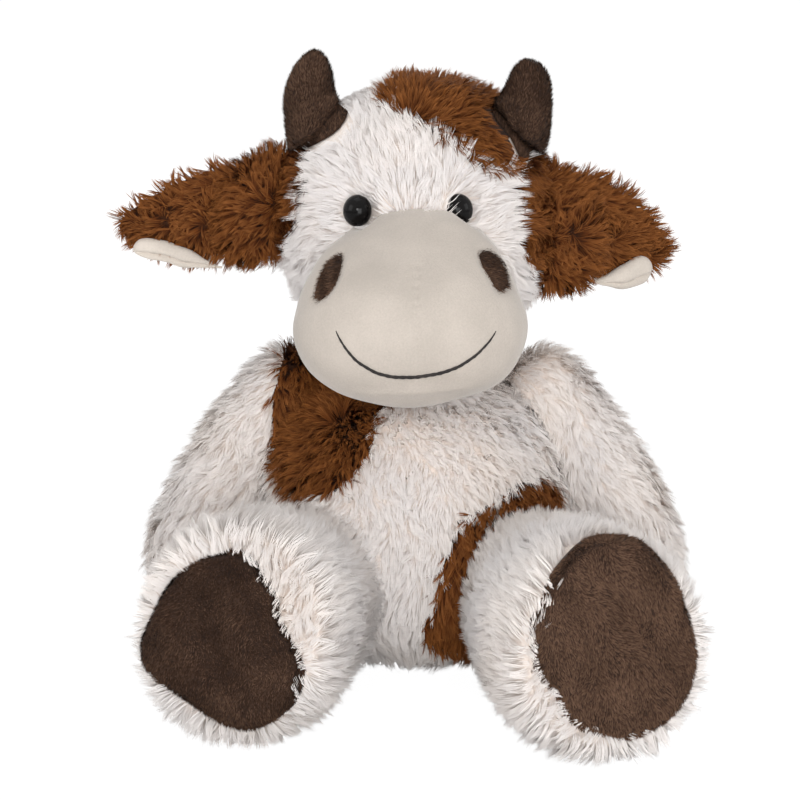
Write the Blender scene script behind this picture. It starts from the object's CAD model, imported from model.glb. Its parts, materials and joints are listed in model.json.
"""The looks of a sitting plush cow: long white and brown pile, smooth cream velboa, short dark pile,
glossy eyes and a stitched smile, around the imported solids."""

import json
import math

import bmesh
import bpy
import numpy as np
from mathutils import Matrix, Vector
from mathutils.bvhtree import BVHTree
from mathutils.kdtree import KDTree


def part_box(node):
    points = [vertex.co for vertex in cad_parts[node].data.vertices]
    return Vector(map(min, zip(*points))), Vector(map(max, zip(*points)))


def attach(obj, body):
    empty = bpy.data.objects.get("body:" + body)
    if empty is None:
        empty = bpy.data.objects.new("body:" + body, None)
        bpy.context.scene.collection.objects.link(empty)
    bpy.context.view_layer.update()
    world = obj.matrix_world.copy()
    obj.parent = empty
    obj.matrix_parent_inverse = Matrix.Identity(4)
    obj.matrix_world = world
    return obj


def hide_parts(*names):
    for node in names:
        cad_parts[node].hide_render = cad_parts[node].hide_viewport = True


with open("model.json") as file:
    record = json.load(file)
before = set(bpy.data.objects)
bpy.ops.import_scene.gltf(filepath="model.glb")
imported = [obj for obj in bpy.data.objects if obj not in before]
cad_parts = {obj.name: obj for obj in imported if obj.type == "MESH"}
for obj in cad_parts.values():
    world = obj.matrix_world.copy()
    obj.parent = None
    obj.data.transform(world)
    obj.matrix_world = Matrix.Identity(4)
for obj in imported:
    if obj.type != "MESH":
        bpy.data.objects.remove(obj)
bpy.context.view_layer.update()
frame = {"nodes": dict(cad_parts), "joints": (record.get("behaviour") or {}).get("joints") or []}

# Directions
UP = np.array([0.0, 0.0, 1.0])
DOWN = -UP
FRONT = np.array([0.0, -1.0, 0.0])
SIDES = ("left", "right")
OUTWARD = {"left": np.array([1.0, 0.0, 0.0]), "right": np.array([-1.0, 0.0, 0.0])}

# The photograph's viewpoint. The picture's plane stands at its distance, and a pixel there is this wide
CAMERA_RISE = math.radians(12)
CAMERA_DISTANCE = 1.3
CAMERA_TARGET = np.array([-0.0081, 0.0, 0.140])
CAMERA_SIDE = np.array([1.0, 0.0, 0.0])
CAMERA_UP = np.array([0.0, math.sin(CAMERA_RISE), math.cos(CAMERA_RISE)])
CAMERA_AHEAD = np.array([0.0, math.cos(CAMERA_RISE), -math.sin(CAMERA_RISE)])
CAMERA_PLACE = CAMERA_TARGET - CAMERA_AHEAD * CAMERA_DISTANCE
PIXEL = 0.00054
PICTURE = 800

# Pile sizes in metres
WHITE_LENGTH = 0.0125
WHITE_WIDTH = 0.00046
WHITE_CLUMP = 0.0042
BROWN_LENGTH = 0.0135
BROWN_WIDTH = 0.00052
BROWN_CLUMP = 0.0019
EAR_PILE = 0.0120
TAIL_PILE = 0.007
NAP_LENGTH = 0.0024
HORN_NAP_LENGTH = 0.00276
NAP_WIDTH = 0.00052

# How deep the cloth lies under its pile, and how shallow in a crease
HIDE_DEPTH = 0.0048
EAR_DEPTH = 0.0035
TAIL_DEPTH = 0.003
CREASE_DEPTH = 0.0012
CREASE_REACH = 0.012

# The face size of each kind of cloth, and how often it is smoothed
HIDE_VOXEL = 0.003
HIDE_ROUNDS = 5
FINE_VOXEL = 0.0013
MUZZLE_ROUNDS = 8
HORN_ROUNDS = 6
EAR_VOXEL = 0.0018
EAR_ROUNDS = 4
LINING_VOXEL = 0.0014
LINING_ROUNDS = 3
SINK_ROUNDS = 4

# Strands for each square metre of hide
WHITE_DENSITY = 1350000.0
TAIL_DENSITY = 1755000.0
BROWN_DENSITY = 2100000.0
TUFT_DENSITY = 3150000.0
NAP_DENSITY = 3000000.0

# How far apart the turns of the pile and its changes of tone lie
SWIRL_LONG = 0.045
EAR_SWIRL = 0.020
TAIL_SWIRL = 0.020
TONE_WAVE = 0.050
BRUSH_WAVE = 0.022

# How strongly each influence turns the pile
COMB = {
    "torso whorl": 0.8, "torso swirl": 0.28,
    "head sag": 0.35, "nape sag": 1.4, "head swirl": 0.22,
    "patch sag": 0.2, "patch swirl": 0.35,
    "ear root front": 0.35, "ear root sag": 0.15, "ear root swirl": 0.6,
    "arm out": 0.45, "arm front": 0.15, "arm swirl": 0.3,
    "shoulder out": 0.3, "shoulder swirl": 0.4,
    "leg ring": 1.1, "leg rise": 0.5, "leg along": 0.9, "leg swirl": 0.4,
    "sole across": 0.3, "sole swirl": 0.7,
    "nostril out": 0.5, "nostril swirl": 0.3,
    "horn swirl": 0.35,
    "ear out": 0.35, "ear in": 1.1, "ear spread": 1.6, "ear rise": 0.2, "ear swirl": 0.65,
    "base out": 0.3, "base swirl": 0.5,
    "tail swirl": 0.2, "tuft swirl": 0.3,
}
# The middle tone of each pile and how far it wanders
TONES = {
    "torso": (0.42, 0.25), "head": (0.22, 0.2), "arm": (0.55, 0.25), "leg": (0.38, 0.25),
}

# Where random numbers start for each piece, so that every run gives the same toy
SEEDS = {
    "torso": 11, "head": 31, "muzzle": 101, "tail": 160, "tuft": 170, "roll": 181,
    "arm": {"left": 50, "right": 60}, "leg": {"left": 70, "right": 80}, "sole": {"left": 90, "right": 95},
    "nostril": {"left": 110, "right": 115}, "horn": {"left": 120, "right": 130},
    "horn foot": {"left": 125, "right": 135}, "ear": {"left": 140, "right": 150},
    "ear base": {"left": 190, "right": 195},
}


def rows_of(items, field, width, kind=float):
    """One field of all the items, as rows of the given width."""
    flat = np.empty(len(items) * width, dtype=kind)
    items.foreach_get(field, flat)
    return flat.reshape(-1, width)


def points_of(mesh):
    """The mesh's corners as rows of x, y and z."""
    return rows_of(mesh.vertices, "co", 3)


def normals_of(mesh):
    """The direction that the surface faces at each corner."""
    return rows_of(mesh.vertex_normals, "vector", 3)


def unit(rows):
    """Each row scaled to length one."""
    size = np.linalg.norm(rows, axis=-1, keepdims=True)
    return rows / np.maximum(size, np.finfo(float).tiny)


def dot(rows, others):
    """The product of each row with its partner, as a column."""
    return np.sum(rows * others, axis=-1, keepdims=True)


def along_surface(rows, normals):
    """The part of each row that runs along the surface, at length one."""
    return unit(rows - normals * dot(rows, normals))


def step(low, high, values):
    """Nought below low, one above high, and a smooth rise between them."""
    share = np.clip((values - low) / (high - low), 0.0, 1.0)
    return share * share * (3.0 - 2.0 * share)


def waves(points, wavelength, seed, columns=1):
    """Smooth, steady noise over space, about minus one to one, in as many columns as asked."""
    source = np.random.default_rng(seed)
    out = []
    for _ in range(columns):
        total = np.zeros(len(points))
        for _ in range(WAVE_TERMS):
            way = unit(source.normal(size=3))
            reach = wavelength * source.uniform(*WAVE_SPREAD)
            total += np.sin(points @ way * 2.0 * math.pi / reach + source.uniform(0.0, 2.0 * math.pi))
        out.append(total * math.sqrt(2.0 / WAVE_TERMS) / WAVE_SIZE)
    return np.stack(out, axis=-1)


WAVE_TERMS = 7
WAVE_SPREAD = (0.7, 1.5)
WAVE_SIZE = 1.6


def swirls(points, wavelength, seed, influence):
    """Smooth turns of the pile, as a direction at each point."""
    return waves(points, wavelength, seed, 3) * COMB[influence]


def tones(points, wavelength, seed, middle, spread):
    """A tone at each point that wanders smoothly about the middle."""
    return middle + spread * waves(points, wavelength, seed)[:, 0]


def rounded(rows, rounds):
    """Draws each row towards its two neighbours, several times, and leaves the ends where they are."""
    for _ in range(rounds):
        rows[1:-1] = (rows[:-2] + rows[2:]) / 4.0 + rows[1:-1] / 2.0


def evenly_along(points, count):
    """As many points as asked at even distances along a path, with their distances
    along it and those of its knots."""
    knots = np.concatenate([[0.0], np.cumsum(np.linalg.norm(np.diff(points, axis=0), axis=1))])
    way = np.linspace(0.0, knots[-1], count)
    return np.stack([np.interp(way, knots, column) for column in points.T], axis=-1), way, knots


def tree_of(*names):
    """A search tree over the surfaces of the named nodes."""
    mesh = joined_mesh(names)
    tree = tree_of_mesh(mesh)
    bpy.data.meshes.remove(mesh)
    return tree


def tree_of_mesh(*meshes):
    """A search tree over one mesh or several."""
    corners = []
    faces = []
    for mesh in meshes:
        start = len(corners)
        corners.extend(v.co.copy() for v in mesh.vertices)
        faces.extend(tuple(corner + start for corner in p.vertices) for p in mesh.polygons)
    return BVHTree.FromPolygons(corners, faces)


def joined_mesh(names):
    """The meshes of the named nodes, in one mesh."""
    bm = bmesh.new()
    for name in names:
        bm.from_mesh(frame["nodes"][name].data)
    return mesh_from(bm, "joined")


def mesh_from(bm, name):
    """The mesh that was being edited, on its own."""
    mesh = bpy.data.meshes.new(name)
    bm.to_mesh(mesh)
    bm.free()
    return mesh


def distances(tree, points):
    """How far each point lies from the nearest surface of the tree."""
    return np.array([tree.find_nearest(Vector(p))[3] for p in points])


def within_box(points, low, high, margin=0.0):
    """Whether each point lies in the box, widened by the margin."""
    return np.all((points > low - margin) & (points < high + margin), axis=1)


def guard_of(mesh):
    """The closed surface of a mesh with its box, for asking what lies inside."""
    points = points_of(mesh)
    return tree_of_mesh(mesh), points.min(axis=0), points.max(axis=0)


def inside(guard, points, depth=0.0):
    """Whether each point lies within the guard's closed surface, deeper than depth."""
    tree, low, high = guard
    out = within_box(points, low, high)
    for index in np.nonzero(out)[0]:
        spot, normal, _, _ = tree.find_nearest(Vector(points[index]))
        out[index] = (Vector(points[index]) - spot).dot(normal) < -depth
    return out


def belongs(points, name, other):
    """Whether each point is nearer to the named node than to the other."""
    low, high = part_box(name)
    out = within_box(points, np.array(low), np.array(high), REGION_MARGIN)
    near = np.nonzero(out)[0]
    out[near] = distances(tree_of(name), points[near]) < distances(tree_of(other), points[near])
    return out


REGION_MARGIN = 0.008


# Places in the photograph

def picture_place(points):
    """Where each point shows in the picture's plane: rightward and upward from its middle."""
    seen = points - CAMERA_TARGET
    scale = CAMERA_DISTANCE / (CAMERA_DISTANCE + seen @ CAMERA_AHEAD)
    return np.stack([seen @ CAMERA_SIDE * scale, seen @ CAMERA_UP * scale], axis=-1)


def picture_points(pixels):
    """Pixels of the photograph as places in its plane."""
    rows = np.array(pixels, dtype=float)
    return np.stack([rows[:, 0] - PICTURE / 2.0, PICTURE / 2.0 - rows[:, 1]], axis=-1) * PIXEL


def sight_ways(places):
    """The direction from the camera to each place in the picture's plane."""
    return unit(CAMERA_AHEAD * CAMERA_DISTANCE + places[:, :1] * CAMERA_SIDE + places[:, 1:] * CAMERA_UP)


def seen_on(tree, places):
    """The spots of the surface that show at the places, and the way that each faces."""
    spots = []
    normals = []
    for way in sight_ways(places):
        spot, normal, _, _ = tree.ray_cast(Vector(CAMERA_PLACE), Vector(way))
        if spot is None:
            spot, normal, _, _ = tree.find_nearest(Vector(CAMERA_PLACE + way * CAMERA_DISTANCE))
        spots.append(spot[:])
        normals.append(normal[:])
    return np.array(spots), np.array(normals)


def seen_on_plane(places, origin, facing):
    """The spots of a plane that show at the places."""
    ways = sight_ways(places)
    reach = ((origin - CAMERA_PLACE) @ facing) / (ways @ facing)
    return CAMERA_PLACE + ways * reach[:, None]


def within_outline(places, pixels):
    """Whether each place in the picture's plane lies within the outline."""
    corners = picture_points(pixels)
    out = np.zeros(len(places), dtype=bool)
    for first, second in zip(corners, np.roll(corners, -1, axis=0)):
        crosses = (first[1] > places[:, 1]) != (second[1] > places[:, 1])
        rise = second[1] - first[1] if second[1] != first[1] else 1.0
        where = first[0] + (places[:, 1] - first[1]) * (second[0] - first[0]) / rise
        out ^= crosses & (places[:, 0] < where)
    return out


def around(shares, spokes):
    """A smooth closed outline through the given shares: evenly spaced angles, and its radius at each."""
    points = np.array(shares)
    count = len(points)
    fine = []
    for index in range(count):
        p0, p1, p2, p3 = (points[(index + k - 1) % count] for k in range(4))
        for t in np.linspace(0.0, 1.0, CURVE_STEPS, endpoint=False):
            fine.append(0.5 * (2 * p1 + (p2 - p0) * t + (2 * p0 - 5 * p1 + 4 * p2 - p3) * t * t
                               + (3 * p1 - p0 - 3 * p2 + p3) * t ** 3))
    fine = np.array(fine)
    angle = np.arctan2(fine[:, 1], fine[:, 0])
    radius = np.hypot(fine[:, 0], fine[:, 1])
    order = np.argsort(angle)
    wanted = np.linspace(-math.pi, math.pi, spokes, endpoint=False)
    return wanted, np.interp(wanted, angle[order], radius[order], period=2.0 * math.pi)


CURVE_STEPS = 12


def outline_of(pixels):
    """An outline in the picture's plane as its middle and its distance from there at each angle."""
    places = picture_points(pixels)
    middle = (places.min(axis=0) + places.max(axis=0)) / 2.0
    angles, radius = around(places - middle, PAD_SPOKES)
    ways = np.stack([np.cos(angles), np.sin(angles)], axis=-1) * radius[:, None]
    return {"middle": middle, "angles": angles, "radius": radius, "ways": ways}


def outline_share(outline, places):
    """How far out each place lies, as a share of the outline's distance at its angle."""
    spread = places - outline["middle"]
    angle = np.arctan2(spread[:, 1], spread[:, 0])
    edge = np.interp(angle, outline["angles"], outline["radius"], period=2.0 * math.pi)
    return np.hypot(spread[:, 0], spread[:, 1]) / edge


def grown(points, pixels, least, most):
    """The points moved across the camera's sight, so that the form shows the outline of the pixels. The form
    grows about the outline's middle, at each angle by a factor between least and most."""
    outline = outline_of(pixels)
    spread = picture_place(points) - outline["middle"]
    angle = np.arctan2(spread[:, 1], spread[:, 0])
    spoke = np.round((angle + math.pi) / (2.0 * math.pi) * PAD_SPOKES).astype(int) % PAD_SPOKES
    reach = np.full(PAD_SPOKES, PIXEL)
    np.maximum.at(reach, spoke, np.hypot(spread[:, 0], spread[:, 1]))
    factor = np.clip(outline["radius"] / reach, least, most)
    for _ in range(FIT_ROUNDS):
        factor = (np.roll(factor, 1) + np.roll(factor, -1)) / 4.0 + factor / 2.0
    more = np.interp(angle, outline["angles"], factor, period=2.0 * math.pi) - 1.0
    depth = 1.0 + (points - CAMERA_TARGET) @ CAMERA_AHEAD / CAMERA_DISTANCE
    shift = spread * (more * depth)[:, None]
    return points + shift[:, :1] * CAMERA_SIDE + shift[:, 1:] * CAMERA_UP


PAD_SPOKES = 96
FIT_ROUNDS = 6


# Meshes and pieces

def new_object(name, mesh):
    """A new object in the scene around the mesh."""
    piece = bpy.data.objects.new(name, mesh)
    bpy.context.scene.collection.objects.link(piece)
    return piece


def dressed(piece, material, body, nodes=()):
    """Gives the piece its material, its body, the solids that it stands for, and how full it is."""
    piece.data.materials.clear()
    piece.data.materials.append(materials[material])
    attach(piece, body)
    if nodes:
        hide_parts(*nodes)
    return piece


def mesh_of(name, points, faces):
    """A smooth mesh with the given corners and faces, all facing outward."""
    bm = bmesh.new()
    corners = [bm.verts.new(Vector(point)) for point in points]
    for face in faces:
        bm.faces.new([corners[index] for index in face])
    bmesh.ops.recalc_face_normals(bm, faces=bm.faces)
    mesh = mesh_from(bm, name)
    smooth_faces(mesh)
    return mesh


def fan(point, start, count):
    """The triangles between one corner and the ring of corners that begins at start."""
    return [(point, start + index, start + (index + 1) % count) for index in range(count)]


def bands(start, rings, count):
    """The faces between rings of corners, the first of which begins at start."""
    faces = []
    for first in range(start, start + (rings - 1) * count, count):
        for index in range(count):
            after = (index + 1) % count
            faces.append((first + index, first + count + index, first + count + after, first + after))
    return faces


def lid(start, count):
    """The flat face across the ring of corners that begins at start."""
    return tuple(range(start + count - 1, start - 1, -1))


def evaluated_mesh(piece):
    """The object's mesh with its modifiers applied, in place of the old one."""
    graph = bpy.context.evaluated_depsgraph_get()
    graph.update()
    mesh = bpy.data.meshes.new_from_object(piece.evaluated_get(graph))
    piece.modifiers.clear()
    old = piece.data
    piece.data = mesh
    bpy.data.meshes.remove(old)
    return mesh


def largest_shell(mesh):
    """Leaves only the shell of the mesh that reaches furthest."""
    bm = bmesh.new()
    bm.from_mesh(mesh)
    bm.verts.ensure_lookup_table()
    seen = set()
    shells = []
    for start in bm.verts:
        if start.index in seen:
            continue
        seen.add(start.index)
        shell = [start]
        for vert in shell:
            for edge in vert.link_edges:
                other = edge.other_vert(vert)
                if other.index not in seen:
                    seen.add(other.index)
                    shell.append(other)
        shells.append(shell)
    shells.sort(key=lambda shell: max(v.co.x for v in shell) - min(v.co.x for v in shell))
    extra = [v for shell in shells[:-1] for v in shell]
    bmesh.ops.delete(bm, geom=extra, context="VERTS")
    bm.to_mesh(mesh)
    bm.free()
    mesh.update()


def smooth_points(mesh, rounds):
    """Draws each corner halfway to the middle of its neighbours, several times."""
    points = points_of(mesh)
    edges = rows_of(mesh.edges, "vertices", 2, np.int64)
    count = np.bincount(edges.ravel(), minlength=len(points))[:, None]
    for _ in range(rounds):
        total = np.zeros_like(points)
        np.add.at(total, edges[:, 0], points[edges[:, 1]])
        np.add.at(total, edges[:, 1], points[edges[:, 0]])
        points += (total / count - points) * 0.5
    put_points(mesh, points)


def put_points(mesh, points):
    """Moves the mesh's corners to the given places."""
    mesh.vertices.foreach_set("co", points.astype(np.float32).ravel())
    mesh.update()


def smooth_faces(mesh):
    """Shades the whole mesh as one curved surface."""
    mesh.polygons.foreach_set("use_smooth", np.ones(len(mesh.polygons), dtype=bool))
    mesh.update()


def remeshed(name, nodes, voxel, rounds):
    """One closed, even, smoothed skin around the named nodes."""
    piece = new_object(name, joined_mesh(nodes))
    change = piece.modifiers.new("even faces", "REMESH")
    change.mode = "VOXEL"
    change.voxel_size = voxel
    mesh = evaluated_mesh(piece)
    largest_shell(mesh)
    smooth_points(mesh, rounds)
    smooth_faces(mesh)
    mesh.name = name
    return piece


def sunk(piece, depth):
    """Moves the skin of the piece inward by the depth, one for all corners or one for each, and evens it."""
    mesh = piece.data
    put_points(mesh, points_of(mesh) - normals_of(mesh) * depth)
    smooth_points(mesh, SINK_ROUNDS)
    return piece


def roots_on(piece, density, seed, weight=None, where=None):
    """Random spots spread evenly over the skin, with the direction that the skin faces there. weight thins
    them out, and where keeps only some."""
    source = np.random.default_rng(seed)
    mesh = piece.data
    points = points_of(mesh)
    normals = normals_of(mesh)
    mesh.calc_loop_triangles()
    tris = rows_of(mesh.loop_triangles, "vertices", 3, np.int64)
    a, b, c = points[tris[:, 0]], points[tris[:, 1]], points[tris[:, 2]]
    area = np.linalg.norm(np.cross(b - a, c - a), axis=1) / 2.0
    if weight is not None:
        area = area * weight((a + b + c) / 3.0)
    count = int(area.sum() * density)
    pick = source.choice(len(tris), size=count, p=area / area.sum())
    u = source.random((count, 1))
    v = source.random((count, 1))
    fold = (u + v) > 1.0
    u = np.where(fold, 1.0 - u, u)
    v = np.where(fold, 1.0 - v, v)
    first, second, third = tris[pick].T
    spots = points[first] * (1.0 - u - v) + points[second] * u + points[third] * v
    facing = unit(normals[first] * (1.0 - u - v) + normals[second] * u + normals[third] * v)
    if where is not None:
        kept = where(spots)
        spots, facing = spots[kept], facing[kept]
    return spots, facing


def to_camera(facing):
    """The directions turned so that each has the camera before it."""
    return facing * np.sign(-(facing @ CAMERA_AHEAD))[:, None]


def nearest_of(points, centres):
    """For each point, the index of the nearest centre."""
    tree = KDTree(len(centres))
    for index, centre in enumerate(centres):
        tree.insert(centre, index)
    tree.balance()
    return np.array([tree.find(p)[1] for p in points], dtype=np.int64)


# Strands

def strand_mesh(name, rings, widths, sides, shading, tone, rise, from_hide):
    """A mesh of flat, tapered blades. rings are the points along each blade from root to tip, widths the
    widths at all but the tip, and the map OFBake holds each blade's tone and the way along it. Each blade is
    shaded partly as the hide under it, by the share from_hide."""
    count = len(rings[0])
    steps = len(rings) - 1
    per = 2 * steps + 1
    places = np.empty((count, per, 3), dtype=np.float32)
    way = np.ones((count, per))
    for index in range(steps):
        places[:, 2 * index] = rings[index] - sides * widths[index] / 2.0
        places[:, 2 * index + 1] = rings[index] + sides * widths[index] / 2.0
        way[:, 2 * index:2 * index + 2] = index / steps
    places[:, per - 1] = rings[steps]
    corner_list = [(first, first + 1, first + 3, first + 2) for first in range(0, 2 * steps - 2, 2)]
    corner_list.append((per - 3, per - 2, per - 1))
    pattern = np.concatenate([np.array(face) for face in corner_list])
    sizes = np.array([len(face) for face in corner_list])
    loops = (np.arange(count)[:, None] * per + pattern[None, :]).ravel()
    starts_in = np.concatenate([[0], np.cumsum(sizes)[:-1]])
    starts = (np.arange(count)[:, None] * len(pattern) + starts_in[None, :]).ravel()
    mesh = bpy.data.meshes.new(name)
    mesh.vertices.add(count * per)
    mesh.vertices.foreach_set("co", places.ravel())
    mesh.loops.add(len(loops))
    mesh.loops.foreach_set("vertex_index", loops.astype(np.int32))
    mesh.polygons.add(len(starts))
    mesh.polygons.foreach_set("loop_start", starts.astype(np.int32))
    mesh.update(calc_edges=True)
    uv = np.empty((count, per, 2), dtype=np.float32)
    uv[:, :, 0] = tone.reshape(-1, 1)
    uv[:, :, 1] = rise[0].reshape(-1, 1) + (rise[1] - rise[0]).reshape(-1, 1) * way
    layer = mesh.uv_layers.new(name="OFBake")
    layer.data.foreach_set("uv", uv.reshape(-1, 2)[loops].ravel())
    smooth_faces(mesh)
    blade = np.cross(sides, rings[steps] - rings[0])
    blade = unit(blade * np.sign(dot(blade, shading)))
    mixed = unit(shading * from_hide + blade * (1.0 - from_hide))
    mesh.normals_split_custom_set_from_vertices(np.repeat(mixed, per, axis=0).tolist())
    return mesh


def turned(first, second, angle):
    """A direction at the angle from the first towards the second."""
    return first * np.cos(angle) + second * np.sin(angle)


def pile(name, kind, spots, facing, comb, body, seed, length=None, tone=0.5, keep_out=(), clear=None):
    """Long pile on the spots: bent, tapered strands drawn together in clumps, combed along the hide."""
    source = np.random.default_rng(seed)
    comb = along_surface(comb, facing)
    size = np.broadcast_to(kind["length"] if length is None else length, len(spots)).reshape(-1, 1)
    swirl = waves(spots, kind["swirl"], seed + 1) * kind["swirl_turn"]
    comb = turned(comb, np.cross(facing, comb), swirl)
    across = np.cross(facing, comb)

    # The strand at the middle of each clump
    _, centres = np.unique(np.floor(spots / kind["clump"]).astype(np.int64), axis=0, return_index=True)
    turn = source.normal(size=(len(centres), 1)) * kind["clump_turn"]
    lean = kind["lean"] + source.normal(size=(len(centres), 1)) * kind["lean_spread"]
    reach = size[centres] * source.uniform(*CLUMP_REACH, size=(len(centres), 1))
    way = turned(comb[centres], across[centres], turn)
    clump_mid = spots[centres] + turned(facing[centres], way, lean) * reach / 2.0
    clump_tip = clump_mid + turned(facing[centres], way, lean + kind["bend"]) * reach / 2.0

    # Every strand, on its own and then drawn to its clump
    owner = nearest_of(spots, spots[centres])
    own_turn = turn[owner] + source.normal(size=size.shape) * kind["strand_turn"]
    own_lean = lean[owner] + source.normal(size=size.shape) * kind["strand_lean"]
    own_reach = reach[owner] * source.uniform(*STRAND_REACH, size=size.shape)
    way = turned(comb, across, own_turn)
    middle = spots + turned(facing, way, own_lean) * own_reach / 2.0
    tips = middle + turned(facing, way, own_lean + kind["bend"]) * own_reach / 2.0
    pull = kind["pull"] * source.uniform(*PULL_SPREAD, size=size.shape)
    middle = middle + (clump_mid[owner] - middle) * pull * kind["middle_pull"]
    tips = tips + (clump_tip[owner] - tips) * pull

    # Nothing goes through the floor
    skim = FLOOR_SKIM * source.uniform(*SKIM_SPREAD, size=len(spots))
    for rows in (spots, middle, tips):
        rows[:, 2] = np.maximum(rows[:, 2], skim)

    keep = np.ones(len(spots), dtype=bool)
    for guard in keep_out:
        keep &= ~inside(guard, spots)
        keep &= ~inside(guard, tips, CLEAR_DEPTH)
    if clear is not None:
        keep &= clear(middle, tips, source)
    roll = source.normal(size=size.shape) * kind["roll"]
    sides = unit(turned(unit(np.cross(tips - spots, facing)), facing, roll))
    width = kind["width"] * source.uniform(*WIDTH_SPREAD, size=size.shape)
    tone = np.clip(tone + source.normal(size=len(spots)) * kind["tone_spread"], *TONE_ENDS)
    tone = np.clip(tone + (source.random(len(centres)) - 0.5)[owner] * kind["clump_tone"], *TONE_ENDS)
    low = source.uniform(*ROOT_COLOURS, size=len(spots))
    high = source.uniform(*TIP_COLOURS, size=len(spots))
    rings = [spots, middle, tips]
    widths = [width, width * kind["middle_width"]]
    if kind["rings"] > 2:
        bow = middle - (spots + tips) / 2.0
        rings = [spots, (spots + middle) / 2.0 + bow / 4.0, (middle + tips) / 2.0 + bow / 4.0, tips]
        widths.append(width * kind["late_width"])
    mesh = strand_mesh(name, [ring[keep] for ring in rings], [row[keep] for row in widths], sides[keep],
                       facing[keep], tone[keep], (low[keep], high[keep]), kind["from_hide"])
    dressed(new_object(name, mesh), kind["material"], body)


# How far the strands stay above the floor, and how deep a tip may press into a neighbour
FLOOR_SKIM = 0.0004
CLEAR_DEPTH = 0.0015
# The ranges of the random factors on lengths, pulls, heights above the floor and widths
CLUMP_REACH = (0.82, 1.12)
STRAND_REACH = (0.72, 1.08)
PULL_SPREAD = (0.6, 1.0)
SKIM_SPREAD = (1.0, 3.0)
WIDTH_SPREAD = (0.7, 1.25)
# The tones used, and where on the way from root colour to tip colour a strand begins and ends
TONE_ENDS = (0.02, 0.98)
ROOT_COLOURS = (0.02, 0.25)
TIP_COLOURS = (0.75, 0.98)

WHITE = {
    "material": "white strands",
    "length": WHITE_LENGTH,
    "width": WHITE_WIDTH,
    "clump": WHITE_CLUMP,
    "swirl": 0.030,
    "swirl_turn": 0.35,
    "clump_turn": 0.30,
    "strand_turn": 0.14,
    "lean": math.radians(38),
    "lean_spread": math.radians(11),
    "strand_lean": math.radians(7),
    "bend": math.radians(34),
    "pull": 0.56,
    "middle_pull": 0.5,
    "middle_width": 0.75,
    "rings": 2,
    "roll": 0.45,
    "tone_spread": 0.06,
    "clump_tone": 0.24,
    "from_hide": 0.92,
}

# The legs' pile stands up more and lies less evenly
MANE = {**WHITE, "lean": math.radians(26), "bend": math.radians(28), "clump_turn": 0.32, "swirl_turn": 0.6}

BROWN = {
    "material": "brown strands",
    "length": BROWN_LENGTH,
    "width": BROWN_WIDTH,
    "clump": BROWN_CLUMP,
    "swirl": 0.016,
    "swirl_turn": 0.45,
    "clump_turn": 0.34,
    "strand_turn": 0.10,
    "lean": math.radians(30),
    "lean_spread": math.radians(13),
    "strand_lean": math.radians(6),
    "bend": math.radians(36),
    "pull": 0.72,
    "middle_pull": 0.6,
    "middle_width": 0.85,
    "late_width": 0.6,
    "rings": 3,
    "roll": 0.5,
    "tone_spread": 0.14,
    "clump_tone": 0.45,
    "from_hide": 0.75,
}

# The ears' pile stands in separate tufts
EAR_TUFTS = {**BROWN, "lean": math.radians(24), "bend": math.radians(30), "clump_turn": 0.5}


def nap(name, spots, facing, comb, body, seed, tone, length=NAP_LENGTH):
    """Short dense pile: one small blade at each spot, leaning the way it is brushed."""
    source = np.random.default_rng(seed)
    column = (len(spots), 1)
    size = length * source.uniform(*NAP_REACH, size=column)
    lean = NAP_LEAN + source.normal(size=column) * NAP_LEAN_SPREAD
    comb = along_surface(comb + source.normal(size=spots.shape) * NAP_TURN, facing)
    tips = spots + turned(facing, comb, lean) * size
    tips[:, 2] = np.maximum(tips[:, 2], FLOOR_SKIM)
    roll = source.normal(size=column) * NAP_ROLL
    sides = unit(turned(unit(np.cross(tips - spots, facing)), facing, roll))
    width = NAP_WIDTH * source.uniform(*NAP_WIDTH_SPREAD, size=column)
    tone = np.clip(tone + source.normal(size=len(spots)) * NAP_TONE_SPREAD, *TONE_ENDS)
    low = source.uniform(*NAP_ROOT_COLOURS, size=len(spots))
    high = source.uniform(*NAP_TIP_COLOURS, size=len(spots))
    mesh = strand_mesh(name, [spots, tips], [width], sides, facing, tone, (low, high), NAP_FROM_HIDE)
    dressed(new_object(name, mesh), "dark nap", body)


NAP_REACH = (0.6, 1.1)
NAP_LEAN = math.radians(48)
NAP_LEAN_SPREAD = 0.18
NAP_TURN = 0.22
NAP_ROLL = 0.5
NAP_WIDTH_SPREAD = (0.7, 1.3)
NAP_TONE_SPREAD = 0.30
NAP_ROOT_COLOURS = (0.1, 0.4)
NAP_TIP_COLOURS = (0.7, 0.98)
NAP_FROM_HIDE = 0.8


# Materials

materials = {}


def new_material(name):
    """A new node material: its nodes and its shader."""
    material = bpy.data.materials.new(name)
    material.use_nodes = True
    materials[name] = material
    return material.node_tree, material.node_tree.nodes["Principled BSDF"]


def set_inputs(node, values):
    """Gives the node's inputs their values."""
    for name, value in values.items():
        node.inputs[name].default_value = value


def add_node(tree, kind, values=None, **settings):
    """A node of the given kind, with its settings and the values of its inputs."""
    node = tree.nodes.new(kind)
    for key, value in settings.items():
        setattr(node, key, value)
    set_inputs(node, values or {})
    return node


def noise(tree, source, size, detail=2.0, roughness=0.5):
    """Noise of the given size over the places that the source gives."""
    values = {"Scale": 1.0 / size, "Detail": detail, "Roughness": roughness}
    node = add_node(tree, "ShaderNodeTexNoise", values)
    tree.links.new(source, node.inputs["Vector"])
    return node.outputs["Fac"]


def ramp(tree, source, stops):
    """The colours between the stops, driven by the source."""
    node = add_node(tree, "ShaderNodeValToRGB")
    elements = node.color_ramp.elements
    while len(elements) < len(stops):
        elements.new(0.5)
    for element, (place, colour) in zip(elements, stops):
        element.position = place
        element.color = (*colour, 1.0)
    tree.links.new(source, node.inputs["Fac"])
    return node.outputs["Color"]


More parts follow.
